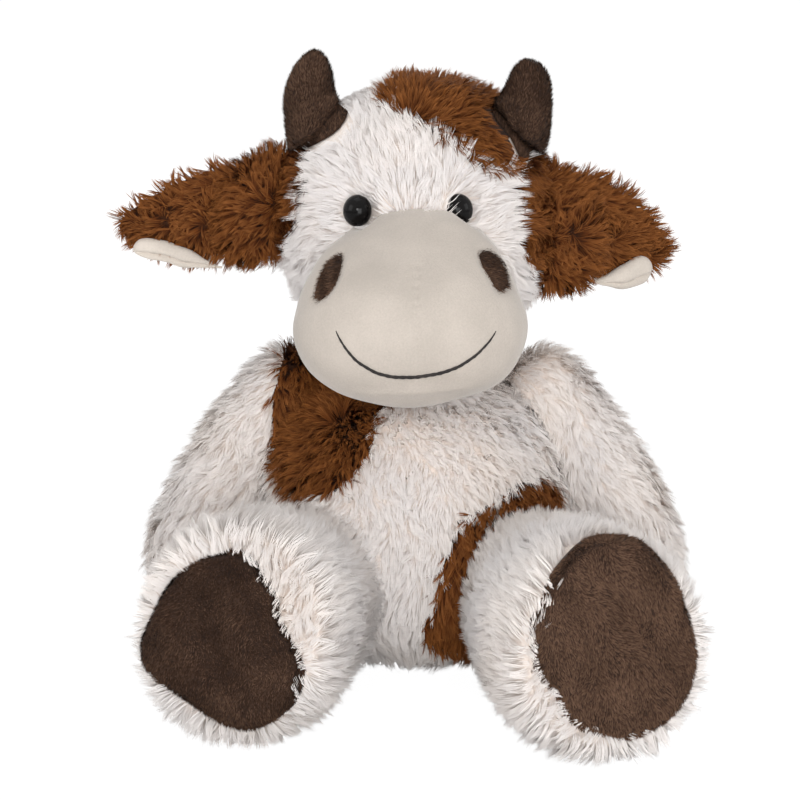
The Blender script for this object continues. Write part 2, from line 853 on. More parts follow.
def mixed(tree, kind, share, first, second):
    """Two colours or two numbers mixed by the share, which is a number or another node's output."""
    node = add_node(tree, "ShaderNodeMix", data_type=kind)
    one, two, out = MIX_SOCKETS[kind]
    if isinstance(share, float):
        node.inputs["Factor"].default_value = share
    else:
        tree.links.new(share, node.inputs["Factor"])
    tree.links.new(first, node.inputs[one])
    tree.links.new(second, node.inputs[two])
    return node.outputs[out]


# Which sockets of the mix node hold the two values and the result
MIX_SOCKETS = {"RGBA": (6, 7, 2), "FLOAT": (2, 3, 0)}


def strand_material(name, cool_stops, warm_stops, roughness):
    """Pile coloured from root to tip, between a cool and a warm tone, both from the strand's own map."""
    tree, shader = new_material(name)
    uv = add_node(tree, "ShaderNodeUVMap", uv_map="OFBake")
    parts = add_node(tree, "ShaderNodeSeparateXYZ")
    tree.links.new(uv.outputs["UV"], parts.inputs["Vector"])
    along = parts.outputs["Y"]
    cool = ramp(tree, along, cool_stops)
    warm = ramp(tree, along, warm_stops)
    tree.links.new(mixed(tree, "RGBA", parts.outputs["X"], cool, warm), shader.inputs["Base Color"])
    set_inputs(shader, {"Roughness": roughness, "Specular IOR Level": STRAND_GLOSS})


STRAND_GLOSS = 0.15
# The piles: colours from root to tip in the cool tone, the same in the warm tone, and the roughness
STRANDS = {
    "white strands": (
        [(0.0, (0.79, 0.71, 0.67)), (0.4, (0.88, 0.835, 0.815)), (1.0, (0.925, 0.895, 0.885))],
        [(0.0, (0.88, 0.73, 0.62)), (0.4, (0.95, 0.87, 0.81)), (1.0, (0.97, 0.915, 0.87))],
        0.9,
    ),
    "brown strands": (
        [(0.0, (0.010, 0.0028, 0.0008)), (0.45, (0.065, 0.018, 0.0035)), (1.0, (0.220, 0.072, 0.016))],
        [(0.0, (0.020, 0.0055, 0.0012)), (0.45, (0.170, 0.048, 0.0075)), (1.0, (0.480, 0.180, 0.048))],
        0.75,
    ),
    "dark nap": (
        [(0.0, (0.005, 0.0025, 0.0015)), (0.5, (0.028, 0.013, 0.007)), (1.0, (0.062, 0.032, 0.019))],
        [(0.0, (0.030, 0.015, 0.009)), (0.5, (0.140, 0.077, 0.048)), (1.0, (0.260, 0.155, 0.105))],
        0.85,
    ),
}


def cloth_material(name, colour, darker, grain, bump, patch, roughness, sheen):
    """Short napped cloth: a fine grain, a soft bump and broad brushed areas. grain, bump and patch are
    lengths."""
    tree, shader = new_material(name)
    place = add_node(tree, "ShaderNodeTexCoord").outputs["Object"]
    fine = noise(tree, place, grain, GRAIN_DETAIL, GRAIN_ROUGHNESS)
    shade = mixed(tree, "FLOAT", BROAD_SHARE, fine, noise(tree, place, patch))
    stops = [(SHADE_ENDS[0], darker), (SHADE_ENDS[1], colour)]
    tree.links.new(ramp(tree, shade, stops), shader.inputs["Base Color"])
    turn = {"Rotation": (0.0, GRAIN_TURN, 0.0), "Scale": (1.0, 1.0, GRAIN_STRETCH)}
    turned_place = add_node(tree, "ShaderNodeMapping", turn)
    tree.links.new(place, turned_place.inputs["Vector"])
    height = add_node(tree, "ShaderNodeMath", operation="ADD")
    tree.links.new(fine, height.inputs[0])
    tree.links.new(noise(tree, turned_place.outputs["Vector"], grain, STROKE_DETAIL), height.inputs[1])
    lift = add_node(tree, "ShaderNodeBump", {"Strength": BUMP_STRENGTH, "Distance": bump})
    tree.links.new(height.outputs[0], lift.inputs["Height"])
    tree.links.new(lift.outputs["Normal"], shader.inputs["Normal"])
    set_inputs(shader, {"Roughness": roughness, "Specular IOR Level": CLOTH_GLOSS, "Sheen Weight": sheen,
                        "Sheen Roughness": SHEEN_ROUGHNESS})


GRAIN_DETAIL = 3.0
GRAIN_ROUGHNESS = 0.6
STROKE_DETAIL = 1.0
BROAD_SHARE = 0.55
SHADE_ENDS = (0.38, 0.62)
BUMP_STRENGTH = 0.7
CLOTH_GLOSS = 0.25
SHEEN_ROUGHNESS = 0.4
# The grain of the short cloths runs in strokes: how far they are turned from upright, and how much they are
# drawn out
GRAIN_TURN = math.radians(38)
GRAIN_STRETCH = 0.28
# The cloths: their colour and its darker shade, the sizes of grain, bump and brushed areas, and their
# roughness and sheen
CLOTHS = {
    "white hide": ((0.93, 0.85, 0.79), (0.90, 0.79, 0.71), 0.0012, 0.0004, 0.02, 0.9, 0.0),
    "brown hide": ((0.060, 0.020, 0.006), (0.020, 0.007, 0.003), 0.0012, 0.0004, 0.01, 0.9, 0.1),
    "velboa": ((0.545, 0.485, 0.430), (0.460, 0.410, 0.362), 0.0009, 0.00022, 0.03, 0.85, 0.35),
    "lining velboa": ((0.660, 0.590, 0.520), (0.560, 0.500, 0.440), 0.0009, 0.00022, 0.03, 0.85, 0.35),
    "dark cloth": ((0.060, 0.032, 0.020), (0.018, 0.009, 0.006), 0.0011, 0.0003, 0.012, 0.9, 0.05),
    "black thread": ((0.030, 0.024, 0.022), (0.012, 0.010, 0.010), 0.0006, 0.0002, 0.01, 0.6, 0.2),
    "nylon": ((0.72, 0.72, 0.72), (0.62, 0.62, 0.62), 0.0008, 0.0001, 0.01, 0.35, 0.0),
}


def eye_material():
    """Hard black plastic, with the faint unevenness of a moulded dome."""
    tree, shader = new_material("eye black")
    place = add_node(tree, "ShaderNodeTexCoord").outputs["Object"]
    paler = tuple(part * EYE_PALER for part in EYE_COLOUR)
    colour = ramp(tree, noise(tree, place, EYE_RIPPLE), [(EYE_ENDS[0], EYE_COLOUR), (EYE_ENDS[1], paler)])
    tree.links.new(colour, shader.inputs["Base Color"])
    set_inputs(shader, {"Roughness": EYE_ROUGHNESS, "Specular IOR Level": EYE_GLOSS})


EYE_COLOUR = (0.004, 0.0035, 0.0035)
EYE_PALER = 1.8
EYE_ENDS = (0.3, 0.7)
EYE_RIPPLE = 0.004
EYE_ROUGHNESS = 0.03
EYE_GLOSS = 0.12

for name, row in STRANDS.items():
    strand_material(name, *row)
for name, row in CLOTHS.items():
    cloth_material(name, *row)
eye_material()


# Hides

def hide(name, nodes, body, neighbours):
    """The cloth under white pile, in the form of its solids. It is sunk by the pile's depth, and hardly at
    all in the crease beside a neighbour."""
    piece = remeshed(name, nodes, HIDE_VOXEL, HIDE_ROUNDS)
    away = distances(tree_of(*neighbours), points_of(piece.data))[:, None]
    sunk(piece, CREASE_DEPTH + (HIDE_DEPTH - CREASE_DEPTH) * step(0.0, CREASE_REACH, away))
    return dressed(piece, "white hide", body, nodes)


def two_tone(piece, is_brown):
    """Gives the hide under a brown patch the brown cloth."""
    mesh = piece.data
    mesh.materials.append(materials["brown hide"])
    centres = np.array([p.center[:] for p in mesh.polygons])
    mesh.polygons.foreach_set("material_index", is_brown(centres).astype(np.int32))
    mesh.update()


# The torso

def torso_pile():
    """Long pile on the body: it hangs down, and spreads from the middle of the chest patch."""
    nodes = ("torso_skin", "torso_stuffing", "bean_pouch", "chest_patch", "belly_patch")
    limbs = ("arm_left_skin", "arm_right_skin", "leg_left_skin", "leg_right_skin")
    cloth = hide("torso_hide", nodes, "torso", (*limbs, "head_skin", "muzzle_skin"))
    two_tone(cloth, on_front_patches)
    (chest,), _ = seen_on(tree_of_mesh(cloth.data), picture_points([CHEST_WHORL_PIXEL]))
    seed = SEEDS["torso"]

    def comb_at(spots, seed):
        """Down, and away from the chest's whorl where that is near."""
        away = unit(spots - chest)
        near = 1.0 - step(CHEST_NEAR, CHEST_FAR, np.linalg.norm(spots - chest, axis=1, keepdims=True))
        return DOWN + away * near * COMB["torso whorl"] + swirls(spots, SWIRL_LONG, seed, "torso swirl")

    keep_out = [guards["muzzle"]]
    spots, facing = roots_on(cloth, WHITE_DENSITY, seed, torso_share, off_front_patches)
    comb = comb_at(spots, seed + 1)
    tone = tones(spots, TONE_WAVE, seed + 2, *TONES["torso"])
    ahead = spots[:, 1] < PATCH_BACK
    for name, part, offset in (("torso_white_pile", ahead, 10), ("torso_back_pile", ~ahead, 13)):
        pile(name, WHITE, spots[part], facing[part], comb[part], "torso", seed + offset,
             tone=tone[part], keep_out=keep_out)
    spots, facing = roots_on(cloth, BROWN_DENSITY, seed + 3, torso_front, on_front_patches)
    comb = comb_at(spots, seed + 4)
    pile("torso_brown_pile", BROWN, spots, facing, comb, "torso", seed + 11, keep_out=keep_out)


def torso_front(points):
    """Only the front of the body, which carries the brown patches."""
    return (points[:, 1] < PATCH_BACK).astype(float)


# Pixels of the photograph within which the brown strands of the chest and belly patches are rooted
CHEST_PIXELS = (
    (298, 330), (285, 352), (274, 396), (273, 439), (281, 473), (293, 494), (312, 498), (336, 490),
    (357, 472), (372, 450), (375, 432), (379, 414), (392, 400), (420, 396), (420, 330),
)
BELLY_PIXELS = (
    (541, 476), (551, 484), (556, 500), (560, 520), (530, 560), (512, 600), (505, 640), (470, 648),
    (430, 640), (420, 628), (438, 598), (441, 572), (451, 542), (459, 522), (480, 508), (500, 497),
    (517, 483),
)
CHEST_WHORL_PIXEL = (338, 425)
CHEST_NEAR = 0.015
CHEST_FAR = 0.060
PATCH_BACK = 0.012
PATCH_FLOOR = 0.006


def on_front_patches(points):
    """Whether each point lies under the brown patches of the chest and the belly."""
    places = picture_place(points)
    seen = within_outline(places, CHEST_PIXELS) | within_outline(places, BELLY_PIXELS)
    return seen & (points[:, 1] < PATCH_BACK) & (points[:, 2] > PATCH_FLOOR)


def off_front_patches(points):
    """Whether each point lies under white pile, outside those patches."""
    return ~on_front_patches(points)


def torso_share(points):
    """Fewer strands under the seat, where the body rests on the floor, and on the back."""
    low = SEAT_SHARE + (1.0 - SEAT_SHARE) * step(*SEAT_HEIGHTS, points[:, 2])
    return low * (1.0 - BACK_THINNING * step(0.0, BACK_FROM, points[:, 1]))


SEAT_SHARE = 0.35
SEAT_HEIGHTS = (0.004, 0.020)
BACK_THINNING = 0.28
BACK_FROM = 0.05


# The head

def head_pile(cloth):
    """Long pile on the head: up and outward from the bridge of the nose, round the whorl on the patch."""

    def is_patch(points):
        """Whether each point lies under the forehead's brown patch."""
        seen = within_outline(picture_place(points), FOREHEAD_PIXELS)
        behind = belongs(points, "forehead_patch", "head_skin")
        behind &= (points[:, 0] < PATCH_SIDE) & (points[:, 0] > -PATCH_OTHER_SIDE)
        return np.where(points[:, 1] < CROWN_FRONT, seen, behind)

    def by_ear(points):
        """Whether each point lies under the brown pile that runs in from an ear."""
        places = picture_place(points)
        seen = within_outline(places, EAR_ROOT_PIXELS["left"])
        seen |= within_outline(places, EAR_ROOT_PIXELS["right"])
        return seen & (points[:, 1] < EAR_ROOT_BACK)

    def is_brown(points):
        """Whether each point lies under brown pile of either kind."""
        return is_patch(points) | by_ear(points)

    two_tone(cloth, is_brown)
    keep_out = [guards["muzzle"], *guards["eyes"], *guards["horns"]]
    cloth_tree = trees["head hide"]

    def clear(middle, tips, source):
        """Whether each strand leaves the eyes and the horns free."""
        keep = clear_of_eyes(middle, tips, source)
        for horn_tree, low, high in guards["horns"] + guards["horn feet"]:
            low, high = sight_box(low, high)
            for points in (middle, tips):
                places = picture_place(points)
                near = np.nonzero(np.all((places > low) & (places < high), axis=1) & keep)[0]
                shown = in_front(horn_tree, cloth_tree, places[near])
                keep[near] = ~(shown & nearer(points[near], horn_tree))
        return keep

    seed = SEEDS["head"]
    spots, facing = roots_on(cloth, WHITE_DENSITY, seed, head_share, lambda spots: ~is_brown(spots))
    sag = step(0.0, CHEEK_REACH, np.abs(spots[:, 0:1])) * COMB["head sag"]
    sag = sag + step(-NAPE_AHEAD, NAPE_REACH, spots[:, 1:2]) * COMB["nape sag"]
    comb = unit(spots - NOSE_BRIDGE) + DOWN * sag + swirls(spots, SWIRL_LONG, seed + 1, "head swirl")
    tone = tones(spots, TONE_WAVE, seed + 3, *TONES["head"])
    low_part = within_outline(picture_place(spots), SHORT_PIXELS)
    length = WHITE_LENGTH * np.where(low_part, SHORT_SHARE, 1.0)
    pile("head_white_pile", WHITE, spots, facing, comb, "head", seed + 10,
         length=length, tone=tone, keep_out=keep_out, clear=clear)
    spots, facing = roots_on(cloth, BROWN_DENSITY, seed + 4)
    patch = is_patch(spots)
    (whorl,), _ = seen_on(cloth_tree, picture_points([WHORL_PIXEL]))
    comb = unit(spots - whorl) + DOWN * COMB["patch sag"]
    comb = comb + swirls(spots, SWIRL_LONG, seed + 2, "patch swirl")
    pile("head_brown_pile", BROWN, spots[patch], facing[patch], comb[patch], "head", seed + 11,
         keep_out=keep_out, clear=clear)
    roots = by_ear(spots)
    for side in SIDES:
        own = roots & (spots @ OUTWARD[side] > 0.0)
        comb = OUTWARD[side] + FRONT * COMB["ear root front"] + DOWN * COMB["ear root sag"]
        comb = comb + swirls(spots[own], EAR_SWIRL, seed + 5, "ear root swirl")
        pile(f"ear_{side}_root_pile", BROWN, spots[own], facing[own], comb, "head", seed + 12,
             keep_out=guards["horns"], clear=clear)


# Where the pile of the head parts: the bridge of the nose
NOSE_BRIDGE = np.array([0.0, -0.068, 0.238])
CHEEK_REACH = 0.06
NAPE_AHEAD = 0.01
NAPE_REACH = 0.06
CROWN_FRONT = -0.012
PATCH_SIDE = 0.045
PATCH_OTHER_SIDE = 0.012
WHORL_PIXEL = (408, 122)
FOREHEAD_PIXELS = (
    (380, 108), (386, 99), (412, 87), (440, 88), (464, 100), (500, 112), (516, 158), (503, 172), (484, 171),
    (452, 149), (426, 131), (398, 118),
)
EAR_ROOT_PIXELS = {
    "left": ((513, 170), (530, 156), (575, 160), (590, 292), (545, 292), (526, 280), (515, 240), (511, 200)),
    "right": ((309, 152), (290, 140), (240, 150), (230, 290), (268, 270), (286, 262), (298, 240), (304, 210),
              (310, 180)),
}
EAR_ROOT_BACK = 0.045
SHORT_PIXELS = ((325, 60), (382, 60), (382, 96), (368, 114), (344, 124), (325, 112))
SHORT_SHARE = 0.45


def clear_of_eyes(middle, tips, source):
    """Whether each strand leaves the eyes free. A few may cross the cow's left eye."""
    keep = np.ones(len(tips), dtype=bool)
    stray = source.random(len(tips)) < STRAY_SHARE
    for side in SIDES:
        place = picture_place(np.array([eye_spot[side]]))[0]
        over = np.zeros(len(tips), dtype=bool)
        for points in (middle, tips):
            close = np.linalg.norm(picture_place(points) - place, axis=1) < EYE_RADIUS * EYE_CLEAR_SHARE
            over |= close & (points[:, 1] < eye_spot[side][1] + EYE_RADIUS)
        keep &= ~over | (stray & (side == "left"))
    return keep


STRAY_SHARE = 0.12
EYE_CLEAR_SHARE = 1.02


def sight_box(low, high):
    """The lowest and highest places in the picture's plane of a box's corners."""
    corners = np.array([[x, y, z] for x in (low[0], high[0]) for y in (low[1], high[1])
                        for z in (low[2], high[2])])
    places = picture_place(corners)
    return places.min(axis=0), places.max(axis=0)


def nearer(points, tree):
    """Whether each point stands between the camera and the tree's surface."""
    out = np.zeros(len(points), dtype=bool)
    for index, point in enumerate(points):
        sight = point - CAMERA_PLACE
        reach = tree.ray_cast(Vector(CAMERA_PLACE), Vector(unit(sight)))[3]
        out[index] = reach is not None and np.linalg.norm(sight) < reach + NEAR_SLACK
    return out


NEAR_SLACK = 0.004


def in_front(tree, other, places):
    """Whether the camera sees the tree's surface, and not the other's before it, at each place."""
    out = np.zeros(len(places), dtype=bool)
    for index, way in enumerate(sight_ways(places)):
        own = tree.ray_cast(Vector(CAMERA_PLACE), Vector(way))[3]
        if own is None:
            continue
        rest = other.ray_cast(Vector(CAMERA_PLACE), Vector(way))[3]
        out[index] = rest is None or own < rest
    return out


def head_share(points):
    """Fewer strands where the head rests on the neck."""
    return NECK_SHARE + (1.0 - NECK_SHARE) * step(*NECK_HEIGHTS, points[:, 2])


NECK_SHARE = 0.3
NECK_HEIGHTS = (0.180, 0.195)


# The limbs

def arm_pile(side):
    """Long pile on an arm, which runs down from the shoulder. The chest patch runs on over the right one."""
    body = f"arm_{side}"
    cloth = hide(f"{body}_hide", (f"{body}_skin", f"{body}_stuffing"), body,
                 ("torso_skin", "muzzle_skin", "head_skin"))
    seed = SEEDS["arm"][side]
    keep_out = [guards["muzzle"]]
    if side == "right":
        two_tone(cloth, on_front_patches)
    where = off_front_patches if side == "right" else None
    spots, facing = roots_on(cloth, WHITE_DENSITY, seed, where=where)
    comb = DOWN + OUTWARD[side] * COMB["arm out"] + FRONT * COMB["arm front"]
    comb = comb + swirls(spots, SWIRL_LONG, seed + 1, "arm swirl")
    tone = tones(spots, TONE_WAVE, seed + 2, *TONES["arm"])
    pile(f"{body}_pile", WHITE, spots, facing, comb, body, seed + 3,
         tone=tone, keep_out=keep_out)
    if side == "right":
        spots, facing = roots_on(cloth, BROWN_DENSITY, seed + 4, where=on_front_patches)
        comb = DOWN + OUTWARD[side] * COMB["shoulder out"]
        comb = comb + swirls(spots, SWIRL_LONG, seed + 5, "shoulder swirl")
        pile("shoulder_pile", BROWN, spots, facing, comb, body, seed + 6, keep_out=keep_out)


def leg_pile(side):
    """Long pile on a leg: forward along it, and outward round the sole like a mane."""
    body = f"leg_{side}"
    cloth = hide(f"{body}_hide", (f"{body}_skin", f"{body}_stuffing"), body, ("torso_skin",))
    seed = SEEDS["leg"][side]
    pad = pads[side]
    spots, facing = roots_on(cloth, WHITE_DENSITY, seed)
    from_sole = spots - pad["centre"]
    depth = from_sole @ pad["facing"]
    ring = unit(from_sole - depth[:, None] * pad["facing"])
    front = step(*FRINGE_DEPTHS, depth)[:, None]
    comb = ring * front * COMB["leg ring"] + UP * COMB["leg rise"] - pad["facing"] * COMB["leg along"]
    comb = comb + swirls(spots, SWIRL_LONG, seed + 1, "leg swirl")
    tone = tones(spots, TONE_WAVE, seed + 2, *TONES["leg"])
    outside = (pad_share(pad, spots) > SOLE_FUR_SHARE) | (depth < -SOLE_FUR_DEPTH)
    under = spots[:, 2] < FOOT_UNDER
    keep = outside & (~under | (np.random.default_rng(seed + 4).random(len(spots)) < UNDER_SHARE))
    length = WHITE_LENGTH * (1.0 + LEG_FRINGE[side] * front[:, 0] * step(0.0, 1.0, ring @ UP))
    inner = (spots - pad["centre"]) @ -OUTWARD[side]
    length = length * (1.0 - INNER_SHORT[side] * step(INNER_NEAR, INNER_FAR, inner))
    pile(f"{body}_pile", MANE, spots[keep], facing[keep], comb[keep], body, seed + 3,
         length=length[keep], tone=tone[keep])


FRINGE_DEPTHS = (-0.045, -0.012)
SOLE_FUR_SHARE = 0.89
SOLE_FUR_DEPTH = 0.030
FOOT_UNDER = 0.010
UNDER_SHARE = 0.5
INNER_SHORT = {"left": 0.45, "right": 0.0}
INNER_NEAR = 0.045
INNER_FAR = 0.070
LEG_FRINGE = {"left": 0.35, "right": 0.30}


# Pads of short pile: the soles and the nostrils

LEFT_SOLE_SHARES = (
    (-0.161, 0.98), (0.080, 0.985), (0.320, 0.94), (0.470, 0.87), (0.62, 0.74), (0.77, 0.58), (0.86, 0.43),
    (0.90, 0.28), (0.97, 0.17), (1.00, 0.00), (1.045, -0.17), (1.02, -0.35), (0.91, -0.59), (0.68, -0.79),
    (0.386, -0.905), (0.149, -0.945), (-0.132, -0.875), (-0.41, -0.79), (-0.586, -0.64), (-0.71, -0.43),
    (-0.895, -0.25), (-0.946, -0.04), (-0.965, 0.23), (-0.893, 0.33), (-0.80, 0.44), (-0.737, 0.58),
    (-0.597, 0.73), (-0.372, 0.90),
)
RIGHT_SOLE_SHARES = (
    (-0.084, 0.91), (-0.402, 0.81), (-0.66, 0.65), (-0.842, 0.43), (-0.966, 0.16), (-1.06, -0.10),
    (-1.03, -0.29), (-0.912, -0.44), (-0.647, -0.56), (-0.343, -0.69), (0.012, -0.83), (0.349, -0.88),
    (0.568, -0.835), (0.828, -0.67), (0.978, -0.50), (1.02, -0.25), (0.98, -0.14), (0.83, 0.04),
    (0.627, 0.29), (0.57, 0.49), (0.405, 0.65), (0.267, 0.80), (0.031, 0.91),
)
SOLE_SHARES = {"left": LEFT_SOLE_SHARES, "right": RIGHT_SOLE_SHARES}
# Where the soles sit on their legs, sideways and up from the middle of their solids
SOLE_SHIFT = {"left": (0.0, 0.0095), "right": (-0.0022, 0.0035)}
SOLE_RINGS = 22
SOLE_DOME = 0.0050
DOME_POWER = 2.5
SOLE_LIP = 0.0060
LIP_START = 0.93
SOLE_BACK = 0.004
SOLE_DENT = 0.0011
SOLE_DENT_WAVE = 0.030
DENT_POWER = 6
SOLE_FRONT = 0.1
SOLE_TONE = {"left": 0.68, "right": 0.13}
SOLE_WANDER = 0.17


def own_axes(points, *wanted):
    """The main directions of the points, the longest first, each turned towards the one wanted."""
    _, _, axes = np.linalg.svd(points - points.mean(axis=0), full_matrices=False)
    return [axis * (1.0 if axis @ way > 0 else -1.0) for axis, way in zip(axes, wanted)]


def pad_frame(side):
    """Where a sole lies: its middle, the way it faces, its side and its rise, from its own solid."""
    points = points_of(frame["nodes"][f"sole_{side}"].data)
    box_middle = (points.min(axis=0) + points.max(axis=0)) / 2.0
    _, _, facing = own_axes(points, OUTWARD[side], UP, FRONT)
    rise = unit(UP - facing * (UP @ facing))
    across = np.cross(rise, facing)
    across = across * (1.0 if across[0] > 0 else -1.0)
    spread = points - box_middle
    wide = spread @ across
    tall = spread @ rise
    middle = box_middle + across * (wide.max() + wide.min()) / 2.0 + rise * (tall.max() + tall.min()) / 2.0
    middle = middle + across * SOLE_SHIFT[side][0] + rise * SOLE_SHIFT[side][1]
    angles, radius = around(SOLE_SHARES[side], PAD_SPOKES)
    return {
        "centre": middle, "facing": facing, "side": across, "rise": rise,
        "half_side": (wide.max() - wide.min()) / 2.0, "half_rise": (tall.max() - tall.min()) / 2.0,
        "top": ((points - middle) @ facing).max(), "angles": angles, "radius": radius,
    }


def pad_share(pad, points):
    """How far out each point lies from the pad's middle, as a share of the outline's distance there."""
    spread = points - pad["centre"]
    u = spread @ pad["side"] / pad["half_side"]
    v = spread @ pad["rise"] / pad["half_rise"]
    edge = np.interp(np.arctan2(v, u), pad["angles"], pad["radius"], period=2.0 * math.pi)
    return np.hypot(u, v) / edge


def sole_pad(side):
    """The sole: a domed panel of dark short pile with soft dents, turned under at its edge."""
    node = f"sole_{side}"
    body = f"leg_{side}"
    pad = pads[side]
    seed = SEEDS["sole"][side]
    shares = np.sin(np.linspace(0.0, 1.0, SOLE_RINGS + 1) * math.pi / 2.0)[1:, None]
    u = np.cos(pad["angles"]) * pad["radius"] * shares
    v = np.sin(pad["angles"]) * pad["radius"] * shares
    flats = pad["centre"] + pad["side"] * u[:, :, None] * pad["half_side"]
    flats = flats + pad["rise"] * v[:, :, None] * pad["half_rise"]
    dents = waves(flats.reshape(-1, 3), SOLE_DENT_WAVE, seed + 1).reshape(u.shape) * SOLE_DENT
    height = pad["top"] - SOLE_DOME * shares ** DOME_POWER - SOLE_LIP * step(LIP_START, 1.0, shares)
    height = height + dents * (1 - shares ** DENT_POWER)
    places = flats + pad["facing"] * height[:, :, None]
    back = places[-1] - pad["facing"] * SOLE_BACK
    points = [pad["centre"] + pad["facing"] * pad["top"], *places.reshape(-1, 3), *back]
    faces = [*fan(0, 1, PAD_SPOKES), *bands(1, SOLE_RINGS + 1, PAD_SPOKES),
             lid(len(points) - PAD_SPOKES, PAD_SPOKES)]
    piece = new_object(f"{node}_pad", mesh_of(f"{node}_pad", points, faces))
    dressed(piece, "dark cloth", body, (node,))
    spots, facing = roots_on(piece, NAP_DENSITY, seed + 2)
    front = facing @ pad["facing"] > SOLE_FRONT
    spots, facing = spots[front], facing[front]
    comb = DOWN + pad["side"] * COMB["sole across"] + swirls(spots, BRUSH_WAVE, seed + 4, "sole swirl")
    tone = tones(spots, BRUSH_WAVE, seed + 3, SOLE_TONE[side], SOLE_WANDER)
    nap(f"{node}_nap", spots, facing, comb, body, seed + 5, tone)


# The muzzle

def muzzle_form():
    """The smooth velboa muzzle, with its centre seam and the chin seam that stands a little proud."""
    nodes = ("muzzle_skin", "muzzle_stuffing", "nostril_left", "nostril_right")
    piece = remeshed("muzzle_cover", nodes, FINE_VOXEL, MUZZLE_ROUNDS)
    mesh = piece.data
    points = grown(points_of(mesh), MUZZLE_PIXELS, *MUZZLE_GROWTH)
    put_points(mesh, points)
    normals = normals_of(mesh)
    ahead = step(0.0, 1.0, -(normals @ CAMERA_AHEAD))
    places = picture_place(points)

    seam_top, seam_foot = picture_points(SEAM_PIXELS)[:, 1]
    seam = np.exp(-((points[:, 0]) / SEAM_WIDTH) ** 2)
    seam = seam * step(0.0, SEAM_FADE, places[:, 1] - seam_foot)
    seam = seam * (1.0 - step(-SEAM_FADE, 0.0, places[:, 1] - seam_top))
    seam = seam * (SEAM_LEAST + SEAM_PULSE * np.cos(points[:, 2] * 2.0 * math.pi / SEAM_STITCH))

    chin_line = picture_points(CHIN_PIXELS)
    chin = places[:, 1] - np.interp(places[:, 0], chin_line[:, 0], chin_line[:, 1])
    ridge = np.exp(-(chin / CHIN_SOFT) ** 2)
    groove = np.exp(-((chin + CHIN_GAP) / CHIN_SOFT) ** 2)
    from_middle = np.abs(places[:, 0] - outline_of(MUZZLE_PIXELS)["middle"][0])
    reach = 1.0 - step(CHIN_REACH / 2.0, CHIN_REACH, from_middle)
    move = -SEAM_DEPTH * seam * ahead + (CHIN_PROUD * ridge - CHIN_SUNK * groove) * ahead * reach

    move = move + waves(points, SOFT_WAVE, SEEDS["muzzle"])[:, 0] * SOFT_LIFT
    move = move + waves(points, FINE_SOFT_WAVE, SEEDS["muzzle"] + 1)[:, 0] * FINE_SOFT_LIFT
    for side in SIDES:
        share = outline_share(outline_of(NOSTRIL_PIXELS[side]), places)
        move = move - NOSTRIL_SINK * (1.0 - step(*NOSTRIL_EDGE_SHARES, share)) * (ahead > 0.0)
    put_points(mesh, points + normals * move[:, None])
    smooth_faces(mesh)
    return dressed(piece, "velboa", "head", nodes)


MUZZLE_GROWTH = (0.90, 1.10)
# Pixels of the photograph round the muzzle, along its middle seam and along its chin seam
MUZZLE_PIXELS = (
    (415.7, 208.8), (390, 214), (365.7, 224), (333.6, 241.8), (310, 270), (301, 291.8), (293.4, 332.9),
    (296, 354), (306.8, 372), (333.6, 393.6), (362, 406), (383.6, 408), (412, 407), (440.7, 402.5),
    (476.4, 395.4), (503, 382.9), (519, 359.6), (529, 332.9), (527, 315), (521, 299), (506.8, 270),
    (494, 243.6), (476, 227.5), (449.6, 213),
)
SEAM_PIXELS = ((416, 255), (416, 368))
SEAM_DEPTH = 0.0010
SEAM_WIDTH = 0.0017
SEAM_STITCH = 0.0042
SEAM_LEAST = 0.7
SEAM_PULSE = 0.3
SEAM_FADE = 0.008
CHIN_PIXELS = ((351, 394), (412, 392), (476, 386))
CHIN_SOFT = 0.0022
CHIN_GAP = 0.0050
CHIN_REACH = 0.060
CHIN_PROUD = 0.0012
CHIN_SUNK = 0.0014
SOFT_WAVE = 0.050
SOFT_LIFT = 0.0007
FINE_SOFT_WAVE = 0.022
FINE_SOFT_LIFT = 0.00022


def seated_pad(name, outline, tree, lift, lip):
    """A thin leaf of dark cloth that lies on the surface, within the outline in the picture's plane."""
    spots, facing = seen_on(tree, outline["middle"][None, :])
    points = [spots[0] + facing[0] * lift]
    for share in np.linspace(0.0, 1.0, LEAF_RINGS + 1)[1:]:
        spots, facing = seen_on(tree, outline["middle"] + outline["ways"] * share)
        points.extend(spots + facing * (lift - lip * step(LEAF_EDGE, 1.0, share)))
    faces = [*fan(0, 1, PAD_SPOKES), *bands(1, LEAF_RINGS, PAD_SPOKES)]
    return dressed(new_object(name, mesh_of(name, points, faces)), "dark cloth", "head")


LEAF_RINGS = 12
LEAF_EDGE = 0.75


def nostril_pad(side):
    """A dark leaf of short pile let into the muzzle."""
    outline = outline_of(NOSTRIL_PIXELS[side])
    seed = SEEDS["nostril"][side]
    piece = seated_pad(f"nostril_{side}_pad", outline, trees["muzzle cover"], NOSTRIL_LIFT, NOSTRIL_LIP)
    spots, facing = roots_on(piece, NAP_DENSITY, seed)
    comb = DOWN + OUTWARD[side] * COMB["nostril out"] + swirls(spots, BRUSH_WAVE, seed + 1, "nostril swirl")
    spread = (picture_place(spots) - outline["middle"]) / outline["radius"].max()
    if side == "left":
        pattern = 1.0 - step(*PALE_CORNER_SHARES, spread[:, 0] + spread[:, 1])
    else:
        pattern = np.sin(spread[:, 0] * STRIPES)
    least, more = NOSTRIL_TONES[side]
    tone = tones(spots, BRUSH_WAVE, seed + 2, least + more * pattern, NOSTRIL_WANDER)
    nap(f"nostril_{side}_nap", spots, to_camera(facing), comb, "head", seed + 3, tone)


